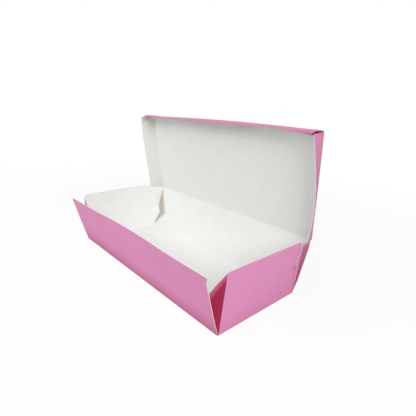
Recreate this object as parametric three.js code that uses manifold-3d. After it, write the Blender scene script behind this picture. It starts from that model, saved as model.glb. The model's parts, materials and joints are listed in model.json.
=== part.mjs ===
import * as THREE from 'three';
import { mergeVertices } from 'three/addons/utils/BufferGeometryUtils.js';
import Module from 'manifold-3d';

// A one-piece folding carton for cookies: a shallow tray with a lid folded from the same card.
// Millimetres, +Z up, +X along the length, the front wall at -Y, origin under the floor's centre.
// Every panel is a flat sheet of card. The printed side is outside and the card lies inside it.

// Card
const cardThickness = 0.45;
const glueBite = 0.05;

// Tray floor and walls, heights along the sloping card, leans outward from upright
const floorLength = 200;
const floorDepth = 83;
const frontWallHeight = 48.5;
const frontWallLean = 15.5;
const frontWallSpread = 0.9;
const endWallHeight = 47.2;
const endWallLean = 4.6;
const endWallTopInset = 1.6;
const endWallCornerRadius = 3.5;
const backWallHeight = 46.4;
const backWallLean = 16.1;
const backWallSpread = 2.4;

// Corners: front webs glued inside the front wall, back webs glued outside the end walls
const frontWebDrop = 13.5;
const frontGlueWidth = 24;
const frontGlueTopDrop = 9;
const frontGlueHeel = 5;
const backWebDrop = 5.2;
const backGlueWidth = 6.5;
const backGlueHeight = 29;
const backEarReach = 4;
const backEarHeight = 19;
const backEarInset = 3;

// Lid
const lidOpenLean = 6.56;
const lidDepthOverFloor = 0.8;
const lidSideOverBackWall = 1.2;
const lidFrontSpread = 1.4;
const lidSideDepth = 15;
const lidSideFlare = 16;
const lidSideHeel = 1.2;
const lidFlapDepth = 15.5;
const lidFlapInset = 0.9;
const lidFlapTaper = 2.5;
const lidWebWidth = 15;
const lidWebInset = 2;
const hingeGap = 0.3;

// Finger tab cut in the lid beside its front fold
const tabLength = 78;
const tabDepth = 2.6;
const tabCutWidth = 0.5;
const tabFoldMargin = 0.8;

const wasm = await Module();
wasm.setup();

const radians = THREE.MathUtils.degToRad;
const vector = (x, y, z) => new THREE.Vector3(x, y, z);

function solidFrom(geometry) {
  geometry.deleteAttribute('normal');
  geometry.deleteAttribute('uv');
  const merged = mergeVertices(geometry, 1e-4);
  const mesh = new wasm.Mesh({
    numProp: 3,
    vertProperties: new Float32Array(merged.attributes.position.array),
    triVerts: new Uint32Array(merged.index.array),
  });
  return new wasm.Manifold(mesh);
}

function geometryFrom(solid) {
  const mesh = solid.getMesh();
  const geometry = new THREE.BufferGeometry();
  geometry.setAttribute('position', new THREE.BufferAttribute(mesh.vertProperties, 3));
  geometry.setIndex(new THREE.BufferAttribute(mesh.triVerts, 1));
  geometry.computeVertexNormals();
  return geometry;
}

// One sheet of card from its corners, counter-clockwise as seen from its printed side.
// lift moves the sheet outward along its normal, for sheets that lie on other sheets.
function panel(corners, lift = 0) {
  const [first, second] = corners;
  const along = second.clone().sub(first).normalize();
  const normal = along.clone().cross(corners.at(-1).clone().sub(first)).normalize();
  const up = normal.clone().cross(along);
  const outline = corners.map((corner) => {
    const offset = corner.clone().sub(first);
    return new THREE.Vector2(offset.dot(along), offset.dot(up));
  });
  const geometry = new THREE.ExtrudeGeometry(new THREE.Shape(outline), {
    depth: cardThickness,
    bevelEnabled: false,
  });
  geometry.translate(0, 0, lift - cardThickness);
  geometry.applyMatrix4(new THREE.Matrix4().makeBasis(along, up, normal).setPosition(first));
  return solidFrom(geometry);
}

const joined = (solids) => solids.reduce((whole, solid) => whole.add(solid));

// The same panels on the other end of the box, mirrored in X, so the corners are read backward.
const mirrored = (corners) => corners.map(({ x, y, z }) => vector(-x, y, z)).reverse();
const bothEnds = (corners, lift = 0) => [panel(corners, lift), panel(mirrored(corners), lift)];

// A rounded corner as points on a curve between the two straight edges.
function roundedCorner(before, corner, after, radius) {
  const start = corner.clone().add(before.clone().sub(corner).setLength(radius));
  const finish = corner.clone().add(after.clone().sub(corner).setLength(radius));
  return new THREE.QuadraticBezierCurve3(start, corner, finish).getPoints(5);
}

// Points on the outer faces of the walls, by distance along the length or depth and height up the card
const halfLength = floorLength / 2;
const halfDepth = floorDepth / 2;
const onFront = (x, height) => vector(
  x,
  -halfDepth - height * Math.sin(radians(frontWallLean)),
  height * Math.cos(radians(frontWallLean)),
);
const onBack = (x, height) => vector(
  x,
  halfDepth + height * Math.sin(radians(backWallLean)),
  height * Math.cos(radians(backWallLean)),
);
const onEnd = (y, height) => vector(
  halfLength + height * Math.sin(radians(endWallLean)),
  y,
  height * Math.cos(radians(endWallLean)),
);

function floorPanel() {
  return panel([
    vector(-halfLength, halfDepth, 0),
    vector(halfLength, halfDepth, 0),
    vector(halfLength, -halfDepth, 0),
    vector(-halfLength, -halfDepth, 0),
  ]);
}

function frontWall() {
  const topHalf = halfLength + frontWallSpread;
  return panel([
    onFront(-halfLength, 0),
    onFront(halfLength, 0),
    onFront(topHalf, frontWallHeight),
    onFront(-topHalf, frontWallHeight),
  ]);
}

const backWallTop = backWallHeight - hingeGap;
const backWallTopHalf = halfLength + backWallSpread;

function backWall() {
  return panel([
    onBack(halfLength, 0),
    onBack(-halfLength, 0),
    onBack(-backWallTopHalf, backWallTop),
    onBack(backWallTopHalf, backWallTop),
  ]);
}

const endFrontTop = onEnd(-halfDepth + endWallTopInset, endWallHeight);
const endBackTop = onEnd(halfDepth - endWallTopInset, endWallHeight);
const frontFloorCorner = onEnd(-halfDepth, 0);
const backFloorCorner = onEnd(halfDepth, 0);

function endWalls() {
  return bothEnds([
    frontFloorCorner,
    backFloorCorner,
    ...roundedCorner(backFloorCorner, endBackTop, endFrontTop, endWallCornerRadius),
    endFrontTop,
  ]);
}

// From the end wall's front crease inward to the front wall, then on along its inner face
function frontWebs() {
  const frontNormal = vector(0, -Math.cos(radians(frontWallLean)), -Math.sin(radians(frontWallLean)));
  const inner = (point) => point.clone().addScaledVector(frontNormal, -cardThickness);
  const webTop = frontWallHeight - frontWebDrop;
  const web = [frontFloorCorner, endFrontTop, inner(onFront(halfLength, webTop))];
  const glue = [
    onFront(halfLength - frontGlueHeel, 0),
    onFront(halfLength, 0),
    onFront(halfLength, webTop),
    onFront(halfLength - frontGlueWidth, webTop - frontGlueTopDrop),
  ];
  return [...bothEnds(web), ...bothEnds(glue, glueBite - cardThickness)];
}

// From the back wall's end crease forward over the end wall's outer face
function backWebs() {
  const endNormal = vector(Math.cos(radians(endWallLean)), 0, -Math.sin(radians(endWallLean)));
  const webTop = endWallHeight - backWebDrop;
  const webTopPoint = onEnd(halfDepth - endWallTopInset, webTop);
  const outer = webTopPoint.clone().addScaledVector(endNormal, cardThickness);
  const web = [backFloorCorner, onBack(backWallTopHalf, backWallTop), outer];
  const glue = [backFloorCorner, webTopPoint, onEnd(halfDepth - backGlueWidth, backGlueHeight)];
  return [...bothEnds(web), ...bothEnds(glue, cardThickness - glueBite)];
}

// The narrow ear on the end wall's back crease stands free inside the corner
function backEars() {
  const tip = vector(halfLength - backEarInset, halfDepth + backEarReach, backEarHeight);
  const top = endBackTop.clone().lerp(backFloorCorner, endWallCornerRadius / endWallHeight);
  return bothEnds([backFloorCorner, tip, top]);
}

function traySolid() {
  return joined([
    floorPanel(),
    frontWall(),
    backWall(),
    ...endWalls(),
    ...frontWebs(),
    ...backWebs(),
    ...backEars(),
  ]);
}

// The lid in its own frame: the hinge along X through the middle of the card, the panel up along Z,
// the printed side at +Y and the side walls and flap reaching forward to -Y.
const lidDepth = floorDepth + lidDepthOverFloor;
const lidHingeHalf = backWallTopHalf + lidSideOverBackWall;
const lidFrontHalf = lidHingeHalf + lidFrontSpread;
const lidFace = cardThickness / 2;
const lidHalfAt = (height) => THREE.MathUtils.lerp(lidHingeHalf, lidFrontHalf, height / lidDepth);

function lidPanel() {
  return panel([
    vector(lidHalfAt(hingeGap), lidFace, hingeGap),
    vector(-lidHalfAt(hingeGap), lidFace, hingeGap),
    vector(-lidFrontHalf, lidFace, lidDepth),
    vector(lidFrontHalf, lidFace, lidDepth),
  ]);
}

function lidSideFree(height) {
  const flare = radians(lidSideFlare);
  return vector(
    lidHalfAt(height) + lidSideDepth * Math.sin(flare),
    lidFace - lidSideDepth * Math.cos(flare),
    height,
  );
}

function lidSides() {
  return bothEnds([
    vector(lidHalfAt(lidSideHeel), lidFace, lidSideHeel),
    vector(lidFrontHalf, lidFace, lidDepth),
    lidSideFree(lidDepth),
    lidSideFree(lidSideHeel),
  ]);
}

function lidFlap() {
  const foldHalf = lidFrontHalf - lidFlapInset;
  const freeHalf = foldHalf - lidFlapTaper;
  const freeEdge = lidFace - lidFlapDepth;
  return panel([
    vector(foldHalf, lidFace, lidDepth),
    vector(-foldHalf, lidFace, lidDepth),
    vector(-freeHalf, freeEdge, lidDepth),
    vector(freeHalf, freeEdge, lidDepth),
  ]);
}

// The corner webs run from the side walls' front ends inward under the flap, where they are glued.
function lidWebs() {
  const free = lidSideFree(lidDepth);
  return bothEnds([
    vector(lidFrontHalf, lidFace, lidDepth),
    vector(lidFrontHalf - lidWebWidth, lidFace - lidWebInset, lidDepth),
    vector(lidFrontHalf - lidWebWidth + lidWebInset, free.y + lidWebInset, lidDepth),
    free,
  ], glueBite - cardThickness);
}

// A shallow arc cut through the lid panel, its ends near the front fold
function tabCut() {
  const chord = tabLength / 2;
  const radius = (chord * chord + tabDepth * tabDepth) / (2 * tabDepth);
  const halfAngle = Math.asin(chord / radius);
  const centreHeight = lidDepth - tabFoldMargin - tabDepth + radius;
  const down = -Math.PI / 2;
  const arc = new THREE.Shape();
  arc.absarc(0, centreHeight, radius, down - halfAngle, down + halfAngle, false);
  arc.absarc(0, centreHeight, radius - tabCutWidth, down + halfAngle, down - halfAngle, true);
  const geometry = new THREE.ExtrudeGeometry(arc, {
    depth: 3 * cardThickness,
    bevelEnabled: false,
    curveSegments: 24,
  });
  geometry.translate(0, 0, -1.5 * cardThickness);
  geometry.rotateX(Math.PI / 2);
  return solidFrom(geometry);
}

function lidSolid() {
  return joined([lidPanel(), ...lidSides(), lidFlap(), ...lidWebs()]).subtract(tabCut());
}

const coatedCard = (color) => new THREE.MeshStandardMaterial({ color, roughness: 0.6, metalness: 0 });

const tray = new THREE.Mesh(geometryFrom(traySolid()), coatedCard('#d68dba'));
tray.name = 'tray';

const lid = new THREE.Mesh(geometryFrom(lidSolid()), coatedCard('#d68dba'));
lid.name = 'lid';
const hingePoint = onBack(0, backWallHeight);
const backNormal = vector(0, Math.cos(radians(backWallLean)), -Math.sin(radians(backWallLean)));
lid.position.copy(hingePoint.addScaledVector(backNormal, -cardThickness / 2));
lid.rotation.x = radians(lidOpenLean);

const cookieBox = new THREE.Group();
cookieBox.add(tray, lid);

export default cookieBox;
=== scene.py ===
# %% [markdown]
# # A pink cookie box, folded from one sheet of card
#
# The real box is die-cut from one sheet of folding boxboard, creased, and glued at its corners.
# The sheet is pink on its printed side and white on its back, so every wall is pink outside and
# white inside. The frame gives two bodies, the tray and the lid, and the hinge between them.
# Each panel here is a grid of points worked out with numpy, and Solidify gives it its thickness.

# %% Load the frame
import json

import bmesh
import bpy
import numpy as np
from mathutils import Matrix


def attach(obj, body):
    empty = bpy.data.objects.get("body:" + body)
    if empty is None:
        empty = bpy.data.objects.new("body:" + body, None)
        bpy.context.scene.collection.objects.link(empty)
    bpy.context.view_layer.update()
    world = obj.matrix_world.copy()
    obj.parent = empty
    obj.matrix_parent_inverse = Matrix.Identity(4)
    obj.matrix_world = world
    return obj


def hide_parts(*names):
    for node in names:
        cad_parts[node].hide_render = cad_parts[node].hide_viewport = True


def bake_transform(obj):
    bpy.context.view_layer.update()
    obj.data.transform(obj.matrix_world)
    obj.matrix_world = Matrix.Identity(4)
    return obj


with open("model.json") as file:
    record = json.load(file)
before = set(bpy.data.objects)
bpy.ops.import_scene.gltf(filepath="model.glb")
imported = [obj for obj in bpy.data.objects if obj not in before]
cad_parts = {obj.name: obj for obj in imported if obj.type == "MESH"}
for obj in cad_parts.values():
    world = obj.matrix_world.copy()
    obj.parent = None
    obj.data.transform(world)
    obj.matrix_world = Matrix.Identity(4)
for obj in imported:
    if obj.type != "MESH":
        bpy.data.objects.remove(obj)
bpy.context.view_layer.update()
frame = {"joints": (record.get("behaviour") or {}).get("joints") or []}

# %% [markdown]
# ## Sizes
#
# The sizes are those of the frame, in millimetres along the card, with leans in degrees from upright.
# They could be read back from the mesh, but a folded box is easier to follow from its panel sizes.

# %% Panel sizes in millimetres and degrees
MM = 0.001
STEP = 1.6
CARD = 0.45
GLUE_GAP = 0.05
LAPPED = CARD + GLUE_GAP
FOLD_RADIUS, BEND_STEPS = 0.7, 4

# The tray's walls. A spread is how much longer a wall is at its top, at each end.
FLOOR_LENGTH, FLOOR_DEPTH = 200.0, 83.0
FRONT_HEIGHT, FRONT_LEAN, FRONT_SPREAD = 48.5, 15.5, 0.9
END_HEIGHT, END_LEAN, END_TOP_INSET = 47.2, 4.6, 1.6
BACK_HEIGHT, BACK_LEAN, BACK_SPREAD = 46.4, 16.1, 2.4

# A box folded by hand isn't the same at both ends. The left end wall stands a little taller.
RIGHT_END = {"extra": 0.0, "back_extra": 0.0, "back_fall": 0.0,
             "front_inset": END_TOP_INSET, "rounds": (0.5, 3.5), "notch": 0.2}
LEFT_END = {"extra": 0.6, "back_extra": 1.8, "back_fall": 1.9,
            "front_inset": -0.4, "rounds": (3.4, 0.6), "notch": 0.0}

# The left front web is tucked deeper than the right one. A drop is how far a web ends below the wall.
RIGHT_WEB = {"drop": 20.5, "tuck": 6.0, "sag": 0.5}
LEFT_WEB = {"drop": 12.0, "tuck": 18.0, "sag": 5.0}
FRONT_GLUE_WIDTH, FRONT_GLUE_DROP, FRONT_GLUE_HEEL = 24.0, 9.0, 5.0
RIGHT_WRAP = {"drop": 5.2, "top_lift": 0.7}
LEFT_WRAP = {"drop": 0.0, "top_lift": 0.0}
BACK_GLUE_WIDTH, BACK_GLUE_HEIGHT = 6.5, 29.0
EAR_LOW, EAR_HIGH = (94.5, 45.8, 16.0), (98.6, 48.6, 20.0)

# The lid's panel, side walls, flap and webs, and the tab that is cut in its front fold
HINGE_GAP = 0.3
LID_DEPTH, LID_LEAN = FLOOR_DEPTH + 0.8, 6.56
LID_SIDE_OVER, LID_FRONT_SPREAD, LID_SIDE_DEPTH = 1.2, 2.4, 15.0
LID_SIDE_HEEL, LID_SIDE_SLANT, RIGHT_FRONT_FALL = 0.6, 3.2, -0.9
LID_FLAP_DEPTH, LID_FLAP_INSET, LID_FLAP_TAPER = 15.5, 0.9, 0.3
LID_WEB_WIDTH, LID_WEB_TAPER, LID_WEB_START, LID_WEB_SHORT = 15.0, 4.0, 1.5, 3.5
TAB_LENGTH, TAB_DEPTH, TAB_LAP, TAB_MARGIN = 104.0, 5.6, 0.6, 1.0

HALF_LENGTH, HALF_DEPTH = FLOOR_LENGTH / 2, FLOOR_DEPTH / 2
BACK_TOP_HALF = HALF_LENGTH + BACK_SPREAD
LID_HINGE_HALF = BACK_TOP_HALF + LID_SIDE_OVER
LID_FRONT_HALF = LID_HINGE_HALF + LID_FRONT_SPREAD
HINGE = np.array(frame["joints"][0]["pos_m"]) / MM
print("hinge at", HINGE.round(3), "mm")

# %% [markdown]
# ## Helpers for folded card
#
# A crease in card is a short bend, not a knife edge. So a folded strip starts as a path of straight
# runs with a small curve at each fold, and the path is carried along the box. Boxes could be bevelled
# instead, but then the bows that make card look like card would be lost.

# %% Paths and blends
CROWDING = 0.08


def sin(degrees):
    """The sine of an angle in degrees."""
    return np.sin(np.radians(degrees))


def cos(degrees):
    """The cosine of an angle in degrees."""
    return np.cos(np.radians(degrees))


def mix(a, b, t):
    """The point a moved towards b by the share t, for whole arrays."""
    return a + (b - a) * np.asarray(t, float)[..., None]


def samples(length):
    """Shares from 0 to 1, about STEP millimetres apart and half as far at both ends.

    They are even shares t less CROWDING times sin(2 pi t).
    """
    t = np.linspace(0, 1, max(2, int(np.ceil(length / STEP)) + 1))
    return t - CROWDING * np.sin(2 * np.pi * t)


def rounded_path(corners):
    """A path of straight runs joined at each inner corner by a quadratic curve.

    The curve leaves one run a fold radius before the corner and meets the next a radius after it.
    Returns the points, and for each the number of its run plus its share of that run.
    """
    corners = np.asarray(corners, float)
    lengths = np.linalg.norm(np.diff(corners, axis=0), axis=1)
    cut = FOLD_RADIUS / lengths
    last = len(lengths) - 1
    points, runs = [], []
    for k, length in enumerate(lengths):
        low = cut[k] if k > 0 else 0.0
        high = 1 - cut[k] if k < last else 1.0
        share = low + (high - low) * samples(length * (high - low))
        points.append(mix(corners[k], corners[k + 1], share))
        runs.append(k + share)
        if k < last:
            t = np.linspace(0, 1, BEND_STEPS + 1)[1:-1]
            start = mix(corners[k], corners[k + 1], high)
            finish = mix(corners[k + 1], corners[k + 2], cut[k + 1])
            points.append(mix(mix(start, corners[k + 1], t), mix(corners[k + 1], finish, t), t))
            runs.append(k + high + (cut[k] + cut[k + 1]) * t)
    return np.concatenate(points), np.concatenate(runs)


def flip_x(grid):
    """The same grid at the other end of the box."""
    return grid * np.array([-1.0, 1.0, 1.0])


across = samples(FLOOR_LENGTH) * 2 - 1
print("columns along the box", len(across))

# %% [markdown]
# ## From grids to a sheet of card
#
# Grids that share a border are welded, so the folded sheet is one skin with open cut edges.
# Two distances are kept on each point, to the nearest cut edge and to the nearest crease. The finishes
# use them for the pale worn edges and the cracked print on the creases.

# %% Weld grids, measure wear distances and thicken
# Both are painted shade: tuck deepens the pink print, damp greys the white back.
PAINTED_SHADES = ("tuck", "painted_grey_shade")
WELD, SLIVER = 0.01, 0.005
SHARP_ANGLE = 28
POINTS_AT_ONCE = 800


def distance_to_segments(points, segments):
    """The least distance from each point to any segment, by the nearest point on each segment's line."""
    starts, ends = segments[:, 0], segments[:, 1]
    along = ends - starts
    offset = points[:, None] - starts[None]
    share = np.clip((offset * along).sum(-1) / (along * along).sum(-1), 0, 1)
    return np.linalg.norm(offset - share[..., None] * along, axis=-1).min(1)


def skin(name, grids):
    """One welded mesh from (grid, outward direction, shades) triples, each grid rows by columns by 3.

    A grid's normal is the sum of the cross products of its cells' diagonals, and the grid is turned over
    where that points against the outward direction. The shades are values of painted shade for the
    finishes, by name, one number or one for each point of the grid.
    """
    points, quads, offset = [], [], 0
    shades = {label: [] for label in PAINTED_SHADES}
    for grid, outward, given in grids:
        rows, columns = grid.shape[:2]
        index = np.arange(rows * columns).reshape(rows, columns) + offset
        quad = np.stack([index[:-1, :-1], index[1:, :-1], index[1:, 1:], index[:-1, 1:]], -1)
        normal = np.cross(grid[1:, 1:] - grid[:-1, :-1], grid[:-1, 1:] - grid[1:, :-1]).sum((0, 1))
        if normal @ np.asarray(outward, float) < 0:
            quad = quad[..., ::-1]
        points.append(grid.reshape(-1, 3))
        quads.append(quad.reshape(-1, 4))
        for label, values in shades.items():
            values.append(np.broadcast_to(given.get(label, 0.0), (rows, columns)).ravel())
        offset += rows * columns
    mesh = bpy.data.meshes.new(name)
    mesh.from_pydata(np.concatenate(points) * MM, [], np.concatenate(quads).tolist())
    for label, values in shades.items():
        values = np.concatenate(values).astype(np.float32)
        mesh.attributes.new(label, "FLOAT", "POINT").data.foreach_set("value", values)
    work = bmesh.new()
    work.from_mesh(mesh)
    bmesh.ops.remove_doubles(work, verts=work.verts, dist=WELD * MM)
    bmesh.ops.dissolve_degenerate(work, edges=work.edges, dist=SLIVER * MM)
    work.to_mesh(mesh)
    work.free()
    return mesh


def boundary_segments(mesh):
    """The two ends of each edge that has one face only, in millimetres."""
    edge_of_loop = np.zeros(len(mesh.loops), int)
    mesh.loops.foreach_get("edge_index", edge_of_loop)
    ends = np.zeros(len(mesh.edges) * 2, int)
    mesh.edges.foreach_get("vertices", ends)
    open_edges = np.bincount(edge_of_loop, minlength=len(mesh.edges)) == 1
    return mesh_points(mesh)[ends.reshape(-1, 2)[open_edges]]


def mesh_points(mesh):
    """The mesh's points in millimetres."""
    co = np.zeros(len(mesh.vertices) * 3)
    mesh.vertices.foreach_get("co", co)
    return co.reshape(-1, 3) / MM


def in_blocks(points, segments):
    """The least distances to the segments, worked out for some of the points at once to save memory."""
    blocks = [points[k:k + POINTS_AT_ONCE] for k in range(0, len(points), POINTS_AT_ONCE)]
    return np.concatenate([distance_to_segments(block, segments) for block in blocks])


def card_piece(name, grids, creases):
    """The welded skin thickened inward: the print outside, the white back inside, the core at cut edges."""
    mesh = skin(name, grids)
    points = mesh_points(mesh)
    wear = {"edge_mm": boundary_segments(mesh), "fold_mm": np.asarray(creases, float)}
    for label, segments in wear.items():
        values = in_blocks(points, segments).astype(np.float32)
        mesh.attributes.new(label, "FLOAT", "POINT").data.foreach_set("value", values)
    piece = bpy.data.objects.new(name, mesh)
    bpy.context.scene.collection.objects.link(piece)
    for finish in (PRINTED, WHITE_BACK, CUT_CORE):
        mesh.materials.append(finish)
    solid = piece.modifiers.new("card thickness", "SOLIDIFY")
    solid.thickness = CARD * MM
    solid.offset = -1
    solid.use_even_offset = True
    solid.material_offset = 1
    solid.material_offset_rim = 2
    graph = bpy.context.evaluated_depsgraph_get()
    final = bpy.data.meshes.new_from_object(
        piece.evaluated_get(graph), preserve_all_data_layers=True, depsgraph=graph)
    piece.modifiers.clear()
    piece.data = final
    final.name = name
    final.shade_smooth()
    final.set_sharp_from_angle(angle=np.radians(SHARP_ANGLE))
    print(name, len(final.polygons), "faces")
    return piece


# %% [markdown]
# ## Finishes
#
# Folding boxboard has a clay coat on the printed side. Offset ink on it is even, with faint clouds where
# the sheet takes more or less ink, and a satin water-based varnish. The back is uncoated bleached pulp:
# matt, slightly warm, with visible fibre. A die leaves the core bare at each cut edge.

# %% Colours and a node helper
def colour(code):
    """An sRGB hex colour as linear red, green, blue and alpha."""
    value = np.array([int(code[k:k + 2], 16) for k in (1, 3, 5)]) / 255
    linear = np.where(value <= 0.04045, value / 12.92, ((value + 0.055) / 1.055) ** 2.4)
    return (*linear.tolist(), 1.0)


def add(tree, kind, inputs, **settings):
    """One node with its settings, its sockets linked or set."""
    made = tree.nodes.new(kind)
    for key, value in settings.items():
        setattr(made, key, value)
    for key, value in inputs.items():
        if isinstance(value, bpy.types.NodeSocket):
            tree.links.new(value, made.inputs[key])
        else:
            made.inputs[key].default_value = value
    return made


def cycles_per_metre(millimetres):
    """The noise scale whose features are about this wide."""
    return 1 / (millimetres * MM)


# %% Parts of a finish
COATING_IOR = 1.5


def new_material(name):
    """A material with an empty node tree, and the tree."""
    material = bpy.data.materials.new(name)
    material.use_nodes = True
    material.node_tree.nodes.clear()
    return material, material.node_tree


def clouds(tree, width, detail, low, high):
    """Soft noise of this width in millimetres, stretched so that it runs from low to high."""
    where = add(tree, "ShaderNodeTexCoord", {})
    noise = add(tree, "ShaderNodeTexNoise", {
        "Vector": where.outputs["Object"], "Scale": cycles_per_metre(width), "Detail": detail})
    return add(tree, "ShaderNodeMapRange", {
        "Value": noise.outputs["Fac"], "From Min": 0.3, "From Max": 0.7, "To Min": low, "To Max": high,
    }).outputs["Result"]


def worn_line(tree, attribute, width, raggedness):
    """1 on a crease or cut edge, falling to 0 within the width in millimetres, its border made ragged."""
    distance = add(tree, "ShaderNodeAttribute", {}, attribute_name=attribute)
    ragged = clouds(tree, width=1.4, detail=3, low=-raggedness, high=raggedness)
    total = add(tree, "ShaderNodeMath", {0: distance.outputs["Fac"], 1: ragged}, operation="ADD")
    return add(tree, "ShaderNodeMapRange", {
        "Value": total.outputs["Value"], "From Min": 0.0, "From Max": width, "To Min": 1.0, "To Max": 0.0,
    }, interpolation_type="SMOOTHSTEP").outputs["Result"]


def mixed(tree, factor, first, second):
    """The first colour moved towards the second by the factor."""
    made = add(tree, "ShaderNodeMix", {"Factor": factor, 6: first, 7: second}, data_type="RGBA")
    return made.outputs[2]


def scaled(tree, value, factor):
    """The value times the factor."""
    return add(tree, "ShaderNodeMath", {0: value, 1: factor}, operation="MULTIPLY").outputs["Value"]


def surface(tree, base, roughness, height, bump_mm):
    """Ends a finish: a principled surface with a bump of so many millimetres."""
    bump = add(tree, "ShaderNodeBump", {"Height": height, "Strength": 1.0, "Distance": bump_mm * MM})
    shader = add(tree, "ShaderNodeBsdfPrincipled", {
        "Base Color": base, "Roughness": roughness, "IOR": COATING_IOR, "Normal": bump.outputs["Normal"]})
    add(tree, "ShaderNodeOutputMaterial", {"Surface": shader.outputs["BSDF"]})


def shade(tree, label):
    """The painted shade that the grids carry under this name."""
    return add(tree, "ShaderNodeAttribute", {}, attribute_name=label).outputs["Fac"]


# %% The printed side, the white back and the cut core
def offset_print():
    """Pink ink on clay-coated board: ink clouds, painted shade that deepens the ink where the tuck
    attribute is set, faintly rubbed edges.
    """
    material, tree = new_material("pink offset print on coated folding boxboard")
    broad = clouds(tree, width=22, detail=3, low=0.0, high=1.0)
    ink = mixed(tree, broad, colour("#EA96C6"), colour("#ED9BCA"))
    fine = clouds(tree, width=1.1, detail=2, low=0.0, high=0.3)
    ink = mixed(tree, fine, ink, colour("#E38DBC"))
    cracked = scaled(tree, worn_line(tree, "fold_mm", width=0.6, raggedness=0.4), 0.12)
    ink = mixed(tree, cracked, ink, colour("#EBCBDD"))
    rubbed = scaled(tree, worn_line(tree, "edge_mm", width=0.5, raggedness=0.4), 0.25)
    ink = mixed(tree, rubbed, ink, colour("#EAD3DF"))
    # Painted shade: the tuck attribute turns the pink towards deep magenta in tucked corners, low on the
    # walls and on the lid's flap and sides, where shade and bounced pink light fall.
    ink = mixed(tree, shade(tree, "tuck"), ink, colour("#A50044"))
    satin = clouds(tree, width=3.0, detail=2, low=0.46, high=0.56)
    grain = clouds(tree, width=0.9, detail=3, low=0.0, high=1.0)
    surface(tree, ink, roughness=satin, height=grain, bump_mm=0.012)
    return material


def uncoated_back():
    """Bleached pulp: cloudy white where the fibres are thicker, warm grey where shade is painted in."""
    material, tree = new_material("uncoated white back of folding boxboard")
    broad = clouds(tree, width=9, detail=4, low=0.0, high=1.0)
    pulp = mixed(tree, broad, colour("#EDEDEB"), colour("#F1F1EF"))
    fibres = clouds(tree, width=1.3, detail=3, low=0.0, high=0.4)
    pulp = mixed(tree, fibres, pulp, colour("#E6E6E3"))
    pressed = scaled(tree, worn_line(tree, "fold_mm", width=0.9, raggedness=0.2), 0.3)
    pulp = mixed(tree, pressed, pulp, colour("#F6F6F4"))
    # Painted shade: the damp attribute greys the white back inside the back corners and on the lid's left
    # side wall.
    pulp = mixed(tree, shade(tree, "painted_grey_shade"), pulp, colour("#BEB6A8"))
    matt = clouds(tree, width=2.0, detail=2, low=0.78, high=0.88)
    grain = clouds(tree, width=0.8, detail=4, low=0.0, high=1.0)
    surface(tree, pulp, roughness=matt, height=grain, bump_mm=0.03)
    return material


def bare_core():
    """The die-cut edge: bare pulp layers, a little darker than the back, and darkened to pink by painted
    shade where the tuck attribute is set.
    """
    material, tree = new_material("die-cut core of folding boxboard")
    layers = clouds(tree, width=1.5, detail=3, low=0.0, high=1.0)
    core = mixed(tree, layers, colour("#E6DCD8"), colour("#F2EBE7"))
    # Painted shade on the cut edges, from the tuck attribute.
    core = mixed(tree, shade(tree, "tuck"), core, colour("#C0669C"))
    grain = clouds(tree, width=0.5, detail=2, low=0.0, high=1.0)
    surface(tree, core, roughness=0.9, height=grain, bump_mm=0.03)
    return material


PRINTED, WHITE_BACK, CUT_CORE = offset_print(), uncoated_back(), bare_core()
print("finishes", PRINTED.name, "|", WHITE_BACK.name, "|", CUT_CORE.name)

# %% [markdown]
# ## The tray
#
# Front wall, floor and back wall are one strip, so their path is carried along the box's length.
# The end walls rise from the strip's ends. Card never stays flat: the front wall's top edge sags
# inward at about the middle, the end walls belly out a little, and the left back corner is pinched in.

# %% Points on the tray's outer faces
FRONT_BOW, FRONT_BOW_MIDDLE, FRONT_BOW_REACH, FRONT_FADE = 2.4, 3.0, 75.0, 1.0
END_BOW, END_BOW_MIDDLE, END_BOW_REACH, END_FADE = 0.8, 8.0, 48.0, 0.5
LEFT_BACK_PINCH, PINCH_REACH, PINCH_DEPTH = 1.3, 12.0, 34.0
FRONT_HOLLOW, FRONT_LEFT_OUT, FRONT_LEFT_BELLY, EDGE_POWER = 1.5, 2.4, 0.4, 40
HOLLOW_OUTLINE = ([0, 0.35, 0.7, 0.86, 0.96], [0, 0.7, 1, 1, 0])


def on_front(x, height):
    """A point of the front wall's outer face, a height up along the card."""
    return np.stack([x, -HALF_DEPTH - height * sin(FRONT_LEAN), height * cos(FRONT_LEAN)], -1)


def on_back(x, height):
    """A point of the back wall's outer face, a height up along the card."""
    return np.stack([x, HALF_DEPTH + height * sin(BACK_LEAN), height * cos(BACK_LEAN)], -1)


def on_end(y, height):
    """A point of the right end wall's outer face, a height up along the card."""
    return np.stack([HALF_LENGTH + height * sin(END_LEAN), y, height * cos(END_LEAN)], -1)


def hump(x, middle, width):
    """A smooth hill, (1 - t squared) squared: 1 at the middle and 0 beyond the width on each side."""
    t = np.clip(np.abs(x - middle) / width, 0, 1)
    return (1 - t * t) ** 2


def tray_bows(grid):
    """Moves a grid of tray points by the bows of the walls, each growing from 0 at its fold.

    The front wall goes inward by a hump along the box times its rise to the power 1.6. An end wall goes
    outward by a hump along the wall times a half sine of the rise. The points near the left back corner
    go inward by the rise to the power 1.5.
    """
    x, y, z = grid[..., 0], grid[..., 1], grid[..., 2]
    rise = np.clip(z / FRONT_HEIGHT, 0, 1)
    ends = 1 - np.clip(np.abs(x) / HALF_LENGTH, 0, 1) ** 4
    front = np.clip((-HALF_DEPTH - y) / FRONT_FADE, 0, 1)
    inward = FRONT_BOW * rise ** 1.6 * hump(x, FRONT_BOW_MIDDLE, FRONT_BOW_REACH) * ends * front
    side = np.clip((np.abs(x) - HALF_LENGTH) / END_FADE, 0, 1) * (np.abs(y) < HALF_DEPTH)
    belly = END_BOW * np.sin(np.pi * rise) * hump(y, END_BOW_MIDDLE, END_BOW_REACH) * side * np.sign(x)
    near_corner = np.clip((-x - HALF_LENGTH) / PINCH_REACH + 1, 0, 1) * hump(y, HALF_DEPTH, PINCH_DEPTH)
    pinch = LEFT_BACK_PINCH * near_corner * rise ** 1.5
    return grid + np.stack([belly + pinch, inward, np.zeros_like(x)], -1)


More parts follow.
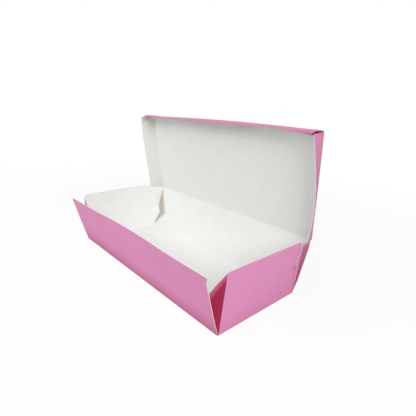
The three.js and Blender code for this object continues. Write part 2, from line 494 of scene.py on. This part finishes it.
def front_edges(grid):
    """The front wall's right free edge is hollow below its tip, and its left one leans and bellies out.

    The left edge goes out by its rise plus a half sine of it. A high power of the place along the wall
    keeps both to the edge itself.
    """
    x, z = grid[..., 0], grid[..., 2]
    rise = np.clip(z / FRONT_HEIGHT, 0, 1)
    free = np.clip(np.abs(x) / (HALF_LENGTH + FRONT_SPREAD * rise), 0, 1) ** EDGE_POWER
    hollow = FRONT_HOLLOW * np.interp(rise, *HOLLOW_OUTLINE)
    bulge = FRONT_LEFT_OUT * (rise + FRONT_LEFT_BELLY * np.sin(np.pi * rise))
    edge = free * np.where(x > 0, -hollow, -bulge)
    return grid + np.stack([edge, np.zeros_like(x), np.zeros_like(x)], -1)


# %% The strip of front wall, floor and back wall
RIGHT_BACK_BULGE, LEFT_BACK_BULGE = 1.0, -1.0
BACK_BULGE_OUTLINE = ([2, 2.25, 2.85, 3], [0, 1, 1, 0.2])

front_top = on_front(np.array(0.0), FRONT_HEIGHT)[1:]
back_top = on_back(np.array(0.0), BACK_HEIGHT - HINGE_GAP)[1:]
strip_path, strip_run = rounded_path([front_top, [-HALF_DEPTH, 0], [HALF_DEPTH, 0], back_top])
fold_share = FOLD_RADIUS / FLOOR_DEPTH
strip_half = np.interp(
    strip_run,
    [0, 1 - fold_share, 1 + fold_share, 2 - fold_share, 2 + fold_share, 3],
    [HALF_LENGTH + FRONT_SPREAD, HALF_LENGTH, HALF_LENGTH - FOLD_RADIUS, HALF_LENGTH - FOLD_RADIUS,
     HALF_LENGTH, BACK_TOP_HALF])
bulge_rise = np.interp(strip_run, *BACK_BULGE_OUTLINE)
back_bulge = bulge_rise[:, None] * np.where(across > 0, RIGHT_BACK_BULGE, LEFT_BACK_BULGE)
strip = np.stack([
    (strip_half[:, None] + back_bulge) * across,
    np.broadcast_to(strip_path[:, :1], (len(strip_path), len(across))),
    np.broadcast_to(strip_path[:, 1:], (len(strip_path), len(across))),
], -1)
on_floor = (strip_run >= 1 + fold_share - 1e-9) & (strip_run <= 2 - fold_share + 1e-9)
on_back_wall = strip_run >= 2 + fold_share
print("strip grid", strip.shape, "floor rows", on_floor.sum())

# %% An end wall, with rounded top corners and a small notch in its top edge
NOTCH_START, NOTCH_LENGTH, FALL_START = 0.66, 0.04, 0.78
fold_steps = np.linspace(0, 1, BEND_STEPS + 1)[:-1]
wall_rows = slice(len(fold_steps), None)


def end_wall(extra, back_extra, back_fall, front_inset, rounds, notch):
    """The right end wall's grid: rows from the floor's border up, columns from front to back.

    Its height is END_HEIGHT and the extra. The top edge rises towards the back as the power 0.7 of the
    place along it, falls straight near the back corner, and is lower in front of the notch. The two
    rounds are the radii of the top corners, front and back, and the front inset moves the front one in.
    """
    side = strip_path[on_floor, 0] / (HALF_DEPTH - FOLD_RADIUS)
    fold_top = FOLD_RADIUS / END_HEIGHT
    flat_rise = fold_top + (1 - fold_top) * samples(END_HEIGHT)
    rise = np.concatenate([np.zeros_like(fold_steps), flat_rise])[:, None]
    top_half = HALF_DEPTH - np.where(side < 0, front_inset, END_TOP_INSET)
    radius = np.where(side < 0, *rounds)
    into = np.clip(np.abs(side) * top_half - (top_half - radius), 0, radius)
    notched = notch * np.clip((-side - NOTCH_START) / NOTCH_LENGTH, 0, 1)
    fallen = back_fall * np.clip((side - FALL_START) / (1 - FALL_START), 0, 1)
    slope = back_extra * (side / 2 + 0.5) ** 0.7 - fallen
    top = END_HEIGHT + extra + slope - notched - (radius - np.sqrt(radius ** 2 - into ** 2))
    half = (HALF_DEPTH - FOLD_RADIUS) + (top_half - HALF_DEPTH + FOLD_RADIUS) * rise
    grid = on_end(half * side, rise * top)
    start, corner = np.array([HALF_LENGTH - FOLD_RADIUS, 0.0]), np.array([HALF_LENGTH, 0.0])
    finish = on_end(np.array(0.0), FOLD_RADIUS)[[0, 2]]
    curve = mix(mix(start, corner, fold_steps), mix(corner, finish, fold_steps), fold_steps)
    grid[:len(fold_steps), :, 0] = curve[:, :1]
    grid[:len(fold_steps), :, 2] = curve[:, 1:]
    return grid


right_wall, left_wall = end_wall(**RIGHT_END), end_wall(**LEFT_END)
print("end wall grid", right_wall.shape)

# %% [markdown]
# ## The tray's corners
#
# Each end wall carries a triangular web at its front crease. It folds inward to the front wall and is
# glued behind it. At the back it is the other way round: the back wall's web wraps forward and is glued
# over the end wall, and a small ear of the end wall stands free inside. Each web is a grid between two
# boundary lines, so it always meets the crease that it grows from.
#
# Light that reaches a tucked corner has bounced between pink faces, so the ink looks much deeper there.
# A renderer gives that bounce only in part, so these grids also carry a shade that deepens the ink.

# %% Front webs, back webs and ears
END_OUT = np.array([cos(END_LEAN), 0, -sin(END_LEAN)])
FRONT_OUT = np.array([0, -cos(FRONT_LEAN), -sin(FRONT_LEAN)])
WEB_COLUMNS, WEB_GLUE_COLUMNS = 12, 14
WRAP_COLUMNS, WRAP_GLUE_COLUMNS, EAR_COLUMNS = 10, 6, 6
WRAP_FOOT, WRAP_TOP, WRAP_PEEL = 0.1, 0.4, 0.1


def column_shares(columns):
    """Shares from 0 to 1, closer together near 0: even shares to the power 1.6."""
    return np.linspace(0, 1, columns) ** 1.6


def between(first, second, columns):
    """Straight lines from each point of one boundary to its partner on the other, closer at the first."""
    return first[:, None] + (second - first)[:, None] * column_shares(columns)[None, :, None]


def front_web(wall, drop, tuck, sag):
    """The web from the end wall's front border to the front wall's inner face, then the glued part.

    The line where it meets the front wall runs inward as it rises, by the tuck at its top. Between
    the two the web sags inward, as a half sine that grows with height.
    """
    crease = wall[wall_rows, 0]
    share = np.linspace(0, 1, len(crease))
    reach = FRONT_HEIGHT - drop
    height = share * reach
    lap_x = HALF_LENGTH - GLUE_GAP - tuck * share
    lap = on_front(lap_x, height + FOLD_RADIUS * (1 - share)) - FRONT_OUT * LAPPED
    far_x = HALF_LENGTH - FRONT_GLUE_HEEL - (FRONT_GLUE_WIDTH - FRONT_GLUE_HEEL) * share
    far = on_front(far_x, height * (1 - share * FRONT_GLUE_DROP / reach) + FOLD_RADIUS)
    web = between(crease, lap, WEB_COLUMNS)
    web[..., 0] -= sag * share[:, None] * np.sin(np.pi * column_shares(WEB_COLUMNS))[None, :]
    return web, between(lap, far - FRONT_OUT * LAPPED, WEB_GLUE_COLUMNS)


def back_web(strip_grid, drop, top_lift):
    """The web from the back wall's border to the end wall's outer face, then the glued triangle.

    The glued triangle's front edge lifts off the wall near its top, by up to the lift.
    """
    crease = strip_grid[on_back_wall][:, -1]
    share = np.linspace(0, 1, len(crease))
    height = share * (END_HEIGHT - drop)
    edge_y = HALF_DEPTH - END_TOP_INSET * height / END_HEIGHT
    lap = on_end(edge_y, height) + END_OUT * LAPPED
    tip = BACK_GLUE_HEIGHT / (END_HEIGHT - drop)
    width = np.interp(share, [0, tip, 1], [WRAP_FOOT, BACK_GLUE_WIDTH - END_TOP_INSET * tip, WRAP_TOP])
    lift = top_lift * np.clip((share - tip + WRAP_PEEL) / (1 - tip + WRAP_PEEL), 0, 1)
    far = lap - np.array([0, 1.0, 0]) * width[:, None] + END_OUT * lift[:, None]
    return between(crease, lap, WRAP_COLUMNS), between(lap, far, WRAP_GLUE_COLUMNS)


def back_ear(wall):
    """The ear from the end wall's back border, widest between its two tips."""
    crease = wall[wall_rows, -1]
    height = crease[:, 2]
    marks = [crease[0, 2], EAR_LOW[2], EAR_HIGH[2], crease[-1, 2]]
    outline = np.array([crease[0], EAR_LOW, EAR_HIGH, crease[-1]])
    rim = np.stack([np.interp(height, marks, outline[:, axis]) for axis in range(3)], -1)
    return between(crease, rim, EAR_COLUMNS)


# %% Painted shades: darker ink low on the walls and in the corners, grey shade inside the back corners
LOW_BAND, WEB_DEEP_TO, WEB_FADE = 19.0, 0.8, 0.45
FRONT_LOW, BACK_LOW, END_LOW = 0.55, 0.25, 0.12
WEB_GLUE_SHADE, WRAP_TOP_SHADE, GLUED_EDGE_SHADE, EAR_SHADE = 0.6, 0.5, 0.6, 0.9
LENS_WIDTH, LENS_HEIGHT, LENS_TOP = 17.5, 16.5, BACK_HEIGHT - 2
LENS_OUTSIDE, LENS_BORDER, LENS_EDGE = 1.0, 5.0, 0.4


def low_shade(grid, strength):
    """Painted shade, from the strength at the table to 0 at LOW_BAND millimetres above it, by a square."""
    return strength * np.clip(1 - grid[..., 2] / LOW_BAND, 0, 1) ** 2


def web_shade(grid):
    """Painted shade, full over the lower web and lighter above WEB_DEEP_TO, where the corner opens."""
    rows, columns = np.linspace(0, 1, grid.shape[0]), np.arange(grid.shape[1])
    return np.clip((WEB_DEEP_TO + WEB_FADE - rows[:, None]) / WEB_FADE, 0, 1) * np.minimum(columns, 1)


# Painted shade: a grey lens on the white back wall inside each back corner.
def back_corner_painted_shade(grid):
    """A lens inside each back corner, widest at LENS_HEIGHT and pointed at the floor and the top.

    Its width falls straight to both points, and its inner border is soft over LENS_BORDER.
    """
    x, z = np.abs(grid[..., 0]), grid[..., 2]
    below, above = z / LENS_HEIGHT, (LENS_TOP - z) / (LENS_TOP - LENS_HEIGHT)
    width = LENS_WIDTH * np.clip(np.minimum(below, above), 0, 1)
    inner = HALF_LENGTH + LENS_OUTSIDE - width
    return np.clip((x - inner) / LENS_BORDER + LENS_EDGE, 0, 1) * np.clip(width / LENS_BORDER, 0, 1)


# %% Put the tray together
front_part = strip[strip_run <= 1 + fold_share]
back_part = strip[strip_run >= 2 - fold_share - 1e-9]
# The tuck and damp values given to the tray's grids are painted shade.
back_painted_shades = {"tuck": low_shade(back_part, BACK_LOW), "painted_grey_shade": back_corner_painted_shade(back_part)}
tray_grids = [
    (front_edges(tray_bows(front_part)), (0, -1, 0), {"tuck": low_shade(front_part, FRONT_LOW)}),
    (tray_bows(strip[on_floor]), (0, 0, -1), {}),
    (tray_bows(back_part), (0, 1, 0), back_painted_shades),
]
corner_lines = [
    [[0, -HALF_DEPTH, 0], [HALF_LENGTH, -HALF_DEPTH, 0]],
    [[0, HALF_DEPTH, 0], [HALF_LENGTH, HALF_DEPTH, 0]],
    [[HALF_LENGTH, -HALF_DEPTH, 0], [HALF_LENGTH, HALF_DEPTH, 0]],
]
tray_creases = [np.array(corner_lines), np.array(corner_lines) * np.array([-1.0, 1, 1])]
for sign, wall, back_strip, web_shape, wrap_shape in (
        (1, right_wall, strip, RIGHT_WEB, RIGHT_WRAP),
        (-1, left_wall, flip_x(strip[:, ::-1]), LEFT_WEB, LEFT_WRAP)):
    side_of = np.array([sign, 1.0, 1.0])
    web, web_glue = front_web(wall, **web_shape)
    wrap, wrap_glue = back_web(back_strip, **wrap_shape)
    ear = back_ear(wall)
    # Painted shade on the back web, on the lower cut edge of its glued triangle and on the ear.
    wrap_rows, inside_wrap = len(wrap), np.minimum(np.arange(WRAP_COLUMNS)[::-1], 1)
    wrap_painted_shade = np.linspace(1.0, WRAP_TOP_SHADE, wrap_rows)[:, None] * inside_wrap
    glued_edge_rows = np.linspace(0, 1, wrap_rows) < BACK_GLUE_HEIGHT / (END_HEIGHT - wrap_shape["drop"])
    last_column = np.arange(WRAP_GLUE_COLUMNS) == WRAP_GLUE_COLUMNS - 1
    pressed = glued_edge_rows[:, None] * last_column * GLUED_EDGE_SHADE
    tray_grids += [
        (tray_bows(wall * side_of), (sign, 0, 0), {"tuck": low_shade(wall, END_LOW)}),
        (tray_bows(web * side_of), (sign, -0.3, 0), {"tuck": web_shade(web)}),
        (tray_bows(web_glue * side_of), (0, -1, 0), {"tuck": WEB_GLUE_SHADE}),
        (tray_bows(wrap * side_of), (sign, 0, 0), {"tuck": wrap_painted_shade}),
        (tray_bows(wrap_glue * side_of), (sign, 0, 0), {"tuck": pressed}),
        (tray_bows(ear * side_of), (sign, 1, 0), {"tuck": EAR_SHADE}),
    ]
    tray_creases.append(tray_bows(np.array([
        [wall[len(fold_steps), 0], wall[-1, 0]],
        [wall[len(fold_steps), -1], wall[-1, -1]],
        [web[0, -1], web[-1, -1]],
        [wrap[0, 0], wrap[-1, 0]],
    ]) * side_of))
tray_card = card_piece("tray_card", tray_grids, np.concatenate(tray_creases))
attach(tray_card, "tray")
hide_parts("tray")

# %% [markdown]
# ## The lid
#
# The lid panel and its front flap are one strip, and the side walls leave the panel at a crease.
# Nothing holds the side walls between the hinge and the front corner, so they belly outward there.
# The lid is made flat in its own frame, with the hinge along X, and then leaned to its open angle.

# %% The lid panel, with the arc of the cut tab
FACE = CARD / 2
TAB_MIDDLE, TAB_SPRING = -3.0, 2.2
LAP_START, SPRING_START, BAND_ROWS = 4, 3, 6
LID_BELLY, LID_CURL = 1.6, 3.0
FOLD_RISE, FOLD_RISE_MIDDLE, FOLD_RISE_REACH = 1.6, 15.0, 118.0
LEFT_CORNER_RISE, CORNER_REACH, LEFT_FLAP_BULGE, RIGHT_FLAP_BULGE = 0.5, 22.0, 1.1, 1.3
FLAP_DROOP = ([-106, -88, -60, -20, 2, 12, 31, 48, 64, 79, 92, 106],
              [0.8, 1.2, 1.2, 1.7, 2.1, 2.2, 1.9, 1.6, 1.2, 1.3, 1.8, 1.9])
FOLD_TOP = LID_DEPTH - FOLD_RADIUS


def lid_half(height):
    """Half the panel's length at a height above the hinge, growing straight to the front fold."""
    return LID_HINGE_HALF + (LID_FRONT_HALF - LID_HINGE_HALF) * height / LID_DEPTH


def lid_bows(grid):
    """The panel curls back and its front fold rises a little; flap and sides go with it.

    With z the share of the panel's depth, it goes back by a half sine of z and by z squared, both 0 at
    the panel's ends. The fold rises by z cubed, and at the left corner by a hump times z to the power 8.
    """
    x, z = grid[..., 0] / LID_FRONT_HALF, np.clip(grid[..., 2] / LID_DEPTH, 0, 1)
    back = (LID_BELLY * np.sin(np.pi * z) + LID_CURL * z * z) * (1 - np.clip(x * x, 0, 1))
    reach = np.clip((grid[..., 0] - FOLD_RISE_MIDDLE) / FOLD_RISE_REACH, -1, 1)
    rise = FOLD_RISE * (1 - reach * reach) * z ** 3
    rise += LEFT_CORNER_RISE * hump(grid[..., 0], -LID_FRONT_HALF, CORNER_REACH) * z ** 8
    return grid + np.stack([np.zeros_like(back), back, rise], -1)


def tab_spring(row, inside):
    """How far the band stands in front of the panel, most at its cut edge, row 0, and 0 at the fold.

    It is the card and TAB_SPRING times (1 - row) to the power 1.5, all times (1 - row) to the power
    0.3, and it grows from 0 at the cut's two ends.
    """
    return (CARD + TAB_SPRING * (1 - row) ** 1.5) * np.minimum(1, SPRING_START * inside) * (1 - row) ** 0.3


def spread(share, depth, height):
    """Points at a share of the panel's half-length, a depth in front of its face and a height."""
    share, depth, height = np.broadcast_arrays(share, depth, height)
    return np.stack([share * (lid_half(height) - FOLD_RADIUS), FACE - depth, height], -1)


from_middle = np.clip((across * LID_FRONT_HALF - TAB_MIDDLE) / (TAB_LENGTH / 2), -1, 1)
in_tab = 1 - from_middle ** 2
arc_line = LID_DEPTH - TAB_MARGIN - TAB_DEPTH * in_tab
panel_top = arc_line + TAB_LAP * np.minimum(1, LAP_START * in_tab)
panel_rows = samples(LID_DEPTH)[:, None]
lid_panel = spread(across, 0.0, HINGE_GAP + (panel_top - HINGE_GAP) * panel_rows)
band_rows = np.linspace(0, 1, BAND_ROWS)[:, None]
sprung = tab_spring(band_rows, in_tab)
lid_band = spread(across, sprung, arc_line + (FOLD_TOP - arc_line) * band_rows)
print("lid panel", lid_panel.shape, "tab band", lid_band.shape)

# %% The flap folds forward from the band and droops by its own amount along the box
flap_turn = np.linspace(0, 1, BEND_STEPS + 1)
flap_run = FOLD_RADIUS + (LID_FLAP_DEPTH - FOLD_RADIUS) * samples(LID_FLAP_DEPTH)[1:]
flap_depth = np.concatenate([FOLD_RADIUS * flap_turn ** 2, flap_run])
flap_rise = FOLD_RADIUS * np.concatenate([2 * flap_turn - flap_turn ** 2, np.ones_like(flap_run)])
inset_end = LID_FLAP_INSET + LID_FLAP_TAPER
inset = np.interp(flap_depth, [0, FOLD_RADIUS, LID_FLAP_DEPTH], [0, LID_FLAP_INSET, inset_end])
flap_half = LID_FRONT_HALF - inset
flap_half[0] = lid_half(FOLD_TOP) - FOLD_RADIUS
flap_x = flap_half[:, None] * across
flat_droop = LID_FLAP_DEPTH * sin(LID_LEAN)


def flap_fall(x, depth_share):
    """How far the flap lies below its plane, at a place along the box and a share of its depth.

    It is the droop there times the share to the power 1.3, less a parabola over the depth that bulges
    the flap at its two ends.
    """
    left_bulge = LEFT_FLAP_BULGE * hump(x, -LID_FRONT_HALF, CORNER_REACH)
    end_bulge = left_bulge + RIGHT_FLAP_BULGE * hump(x, LID_FRONT_HALF, CORNER_REACH)
    droop = np.interp(x, *FLAP_DROOP) - flat_droop
    return droop * depth_share ** 1.3 - end_bulge * 4 * depth_share * (1 - depth_share)


lid_flap = np.stack([
    flap_x,
    np.broadcast_to((FACE - flap_depth)[:, None], flap_x.shape),
    (FOLD_TOP + flap_rise)[:, None] - flap_fall(flap_x, flap_depth[:, None] / LID_FLAP_DEPTH),
], -1)
print("flap", lid_flap.shape)

# %% Side walls, each with its own flare along the panel, and the webs glued under the flap
RIGHT_FLARE = ([0, 22, 43, 70, 84], [17, 26.5, 23, 13, 2.5])
LEFT_FLARE = ([0, 10, 24, 39, 53, 68, 80], [3, 3, 6, 13, 18.5, 21, 17])
SIDE_COLUMNS, LID_WEB_COLUMNS = 10, 10
WEB_UNDER, WEB_INSIDE = 0.2, 0.3


def smooth_flare(height, places, angles):
    """A cubic near the given flare angles, in degrees."""
    return np.polyval(np.polyfit(places, angles, 3), height)


def lid_side(flare, front_fall):
    """The panel's border, a bend at the crease, then straight card leaning out by the flare.

    The free border starts LID_SIDE_SLANT higher than the crease. At the front it ends lower by the front
    fall, times the share across to the power 1.3 and the share along to the power 8.
    """
    height = LID_SIDE_HEEL + (FOLD_TOP - LID_SIDE_HEEL) * samples(LID_DEPTH)
    angle = smooth_flare(height, *flare)
    root = np.stack([lid_half(height) - FOLD_RADIUS, np.full_like(height, FACE), height], -1)
    crease = root + np.array([FOLD_RADIUS, 0, 0])
    out = np.stack([sin(angle), -cos(angle), np.zeros_like(height)], -1)
    start, free = crease + out * FOLD_RADIUS, crease + out * LID_SIDE_DEPTH
    flat_share = np.linspace(0, 1, SIDE_COLUMNS)
    curve = [mix(mix(root, crease, t), mix(crease, start, t), t) for t in fold_steps]
    flat = [mix(start, free, t) for t in flat_share]
    side = np.stack(curve + flat, 1)
    share = np.concatenate([np.zeros_like(fold_steps), flat_share])[None, :]
    rise = (height[:, None] - LID_SIDE_HEEL) / (FOLD_TOP - LID_SIDE_HEEL)
    side[..., 2] += LID_SIDE_SLANT * share * (1 - rise) - front_fall * share ** 1.3 * rise ** 8
    return side


def lid_web(side, sign):
    """From the side wall's front border inward, close under the flap and narrowing by LID_WEB_TAPER."""
    border = side[-1, wall_rows]
    share = np.linspace(0, 1, len(border))
    under = LID_DEPTH - CARD - GLUE_GAP
    near_fall = np.maximum(flap_fall(sign * border[:, 0], share), 0) + WEB_UNDER
    folded = np.stack([border[:, 0] - WEB_INSIDE, border[:, 1], under - near_fall], -1)
    far_x = LID_FRONT_HALF - LID_WEB_WIDTH + LID_WEB_TAPER * share
    far_depth = LID_WEB_START + (LID_SIDE_DEPTH - LID_WEB_SHORT) * share
    far_fall = np.maximum(flap_fall(sign * far_x, far_depth / LID_FLAP_DEPTH), 0)
    far = np.stack([far_x, FACE - far_depth, under - far_fall], -1)
    return np.concatenate([border[:, None], between(folded, far, LID_WEB_COLUMNS)], 1)


right_side, left_side = lid_side(RIGHT_FLARE, RIGHT_FRONT_FALL), flip_x(lid_side(LEFT_FLARE, 0.0))
right_web, left_web = lid_web(right_side, 1), flip_x(lid_web(flip_x(left_side), -1))
side_depth = np.linalg.norm(right_side[0, -1] - right_side[0, len(fold_steps)])
print("side wall depth", round(float(side_depth), 2), "mm")


# %% Put the lid together and lean it open
# Painted shade: darker pink on the flap, most at its free border, on the right side wall and on the webs,
# and grey on the left side wall's white back.
FLAP_SHADE, FLAP_BORDER_SHADE, RIGHT_SIDE_SHADE, LEFT_SIDE_GREY_SHADE = 0.4, 0.25, 0.17, 0.3
RIGHT_LID_WEB_SHADE, LEFT_LID_WEB_SHADE = 0.9, 0.5
CREASE_STRIDE = 6


def open_lid(grid):
    """Turns the lid's own frame forward by its lean about the hinge and puts it at the hinge."""
    x, y, z = grid[..., 0], grid[..., 1], grid[..., 2]
    turned_y = y * cos(LID_LEAN) - z * sin(LID_LEAN)
    turned_z = y * sin(LID_LEAN) + z * cos(LID_LEAN)
    return np.stack([x, turned_y, turned_z], -1) + HINGE


def placed(grid):
    """A flat grid of the lid bowed and then leaned open."""
    return open_lid(lid_bows(grid))


flap_shade = FLAP_SHADE + FLAP_BORDER_SHADE * (flap_depth[:, None] / LID_FLAP_DEPTH) ** 8
panel_out = np.array([0, cos(LID_LEAN), sin(LID_LEAN)])
flap_out = np.array([0, -sin(LID_LEAN), cos(LID_LEAN)])
lid_grids = [
    (placed(lid_panel), panel_out, {}),
    (placed(lid_band), panel_out, {}),
    (placed(lid_flap), flap_out, {"tuck": flap_shade}),
    (placed(right_side), (1, 0.2, 0), {"tuck": RIGHT_SIDE_SHADE}),
    (placed(left_side), (-1, 0.2, 0), {"painted_grey_shade": LEFT_SIDE_GREY_SHADE}),
    (placed(right_web), flap_out, {"tuck": RIGHT_LID_WEB_SHADE}),
    (placed(left_web), flap_out, {"tuck": LEFT_LID_WEB_SHADE}),
]
fold_line = placed(np.stack([
    across * LID_FRONT_HALF, np.full_like(across, FACE), np.full_like(across, LID_DEPTH)], -1))
mid_bend = len(fold_steps) // 2
right_crease, left_crease = placed(right_side[:, mid_bend]), placed(left_side[:, mid_bend])
lid_creases = np.concatenate([
    np.stack([line[:-1], line[1:]], 1)
    for line in (fold_line[::CREASE_STRIDE], right_crease[::CREASE_STRIDE], left_crease[::CREASE_STRIDE])
])
lid_card = card_piece("lid_card", lid_grids, lid_creases)
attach(lid_card, "lid")
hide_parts("lid")

# %% [markdown]
# ## The hinge crease
#
# On the real box the back wall runs on into the lid through a crease. The frame leaves a small gap there
# for the joint, so a narrow strip of card closes it and bends between the two bodies.

# %% A strip from the back wall's top to the lid's lower border
CREASE_COLUMNS = 6
tray_border, lid_border = tray_bows(strip)[-1], placed(lid_panel)[0]
crease_grid = between(tray_border, lid_border, CREASE_COLUMNS)
hinge_line = [HINGE + [-LID_HINGE_HALF, 0, 0], HINGE + [LID_HINGE_HALF, 0, 0]]
hinge_crease = card_piece("hinge_crease", [(crease_grid, (0, 1, 0), {})], [hinge_line])
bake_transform(hinge_crease)

# %% [markdown]
# ## Floor, light and camera
#
# The floor is plain and pale and shows a soft shadow. The light is soft and even, so a colour renders
# about as it is written. The camera stands where the photograph was taken, a little above the lid.

# %% A plain pale floor and a white world
FLOOR_SIZE, FLOOR_DROP = 6.0, 0.2
FLOOR_GLOW, FADE_START, FADE_END = 0.88, 0.15, 0.6


def plain_floor():
    """Grey paint for the light, and for the camera white with a share of glow that grows with distance."""
    material, tree = new_material("plain pale floor")
    path = add(tree, "ShaderNodeLightPath", {})
    where = add(tree, "ShaderNodeTexCoord", {})
    distance = add(tree, "ShaderNodeVectorMath", {0: where.outputs["Object"]}, operation="LENGTH")
    glow_share = add(tree, "ShaderNodeMapRange", {
        "Value": distance.outputs["Value"], "From Min": FADE_START, "From Max": FADE_END,
        "To Min": FLOOR_GLOW, "To Max": 1.0}, interpolation_type="SMOOTHSTEP")
    shown = mixed(tree, path.outputs["Is Camera Ray"], colour("#D4D4D4"), colour("#FFFFFF"))
    paint = add(tree, "ShaderNodeBsdfDiffuse", {"Color": shown})
    glow = add(tree, "ShaderNodeEmission", {"Color": colour("#FFFFFF"), "Strength": 1.0})
    seen = add(tree, "ShaderNodeMath", {
        0: path.outputs["Is Camera Ray"], 1: glow_share.outputs["Result"]}, operation="MULTIPLY")
    both = add(tree, "ShaderNodeMixShader", {0: seen.outputs[0], 1: paint.outputs[0], 2: glow.outputs[0]})
    add(tree, "ShaderNodeOutputMaterial", {"Surface": both.outputs[0]})
    return material


floor_half, floor_height = FLOOR_SIZE / 2, -FLOOR_DROP * MM
square = ((-1, -1), (1, -1), (1, 1), (-1, 1))
floor_corners = [(x * floor_half, y * floor_half, floor_height) for x, y in square]
floor_mesh = bpy.data.meshes.new("floor")
floor_mesh.from_pydata(floor_corners, [], [(0, 1, 2, 3)])
floor_mesh.materials.append(plain_floor())
floor = bpy.data.objects.new("floor", floor_mesh)
bpy.context.scene.collection.objects.link(floor)

# %% World and lamps
WORLD_STRENGTH = 0.27


def white_studio(strength):
    """A world of this strength for the light, and plain white for the camera and for reflections."""
    world = bpy.data.worlds.new("white studio")
    world.use_nodes = True
    world.node_tree.nodes.clear()
    tree = world.node_tree
    path = add(tree, "ShaderNodeLightPath", {})
    mirror = add(tree, "ShaderNodeMath", {
        0: path.outputs["Is Camera Ray"], 1: path.outputs["Is Glossy Ray"]}, operation="MAXIMUM")
    seen = add(tree, "ShaderNodeMath", {
        0: mirror.outputs[0], 1: path.outputs["Is Transmission Ray"]}, operation="MAXIMUM")
    soft = add(tree, "ShaderNodeBackground", {"Color": colour("#FFFFFF"), "Strength": strength})
    white = add(tree, "ShaderNodeBackground", {"Color": colour("#FFFFFF"), "Strength": 1.0})
    either = add(tree, "ShaderNodeMixShader", {0: seen.outputs[0], 1: soft.outputs[0], 2: white.outputs[0]})
    add(tree, "ShaderNodeOutputWorld", {"Surface": either.outputs[0]})
    return world


bpy.context.scene.world = white_studio(WORLD_STRENGTH)


def facing(azimuth, elevation, roll=0.0):
    """The axes right, up and back, as columns, of a lamp or camera seen from the box in this direction.

    Azimuth 0 is in front and 90 to the right. Back points away from the box, right is level before the
    roll, and the roll turns right and up about back.
    """
    back = np.array([sin(azimuth) * cos(elevation), -cos(azimuth) * cos(elevation), sin(elevation)])
    level = np.cross([0, 0, 1.0], back)
    level /= np.linalg.norm(level)
    above = np.cross(back, level)
    right = cos(roll) * level + sin(roll) * above
    up = -sin(roll) * level + cos(roll) * above
    return np.column_stack([right, up, back])


def put(name, data, axes, place):
    """A new object for a lamp or a camera, turned to the axes at a place in metres."""
    made = bpy.data.objects.new(name, data)
    made.matrix_world = Matrix.LocRotScale(place.tolist(), Matrix(axes.tolist()).to_quaternion(), None)
    bpy.context.scene.collection.objects.link(made)
    return made


def softbox(name, azimuth, elevation, distance, size, power):
    """A square area lamp that faces the box, its distance and size in metres and its power in watts."""
    lamp = bpy.data.lights.new(name, "AREA")
    lamp.shape = "SQUARE"
    lamp.size = size
    lamp.energy = power
    axes = facing(azimuth, elevation)
    put(name, lamp, axes, axes[:, 2] * distance + np.array([0, 0, BACK_HEIGHT * MM]))


softbox("right softbox", azimuth=62, elevation=30, distance=1.2, size=0.6, power=8.0)
softbox("left softbox", azimuth=-30, elevation=30, distance=0.6, size=0.35, power=1.1)
softbox("top softbox", azimuth=20, elevation=75, distance=1.2, size=0.8, power=2.8)

# %% The camera at the photograph's place
CAMERA_PLACE = np.array([221.06, -168.06, 139.81]) * MM
CAMERA_AZIMUTH, CAMERA_ELEVATION, CAMERA_ROLL = 47.06, 17.13, 2.81
PHOTO_WIDTH, FOCAL_PIXELS, SENSOR = 416, 324.56, 36.0
NEAREST = 0.01
lens = bpy.data.cameras.new("camera")
lens.sensor_width = SENSOR
lens.lens = FOCAL_PIXELS / PHOTO_WIDTH * SENSOR
lens.clip_start = NEAREST
camera = put("camera", lens, facing(CAMERA_AZIMUTH, CAMERA_ELEVATION, CAMERA_ROLL), CAMERA_PLACE)
bpy.context.scene.camera = camera
bpy.context.scene.view_settings.view_transform = "Standard"
print("lens", round(lens.lens, 2), "mm")
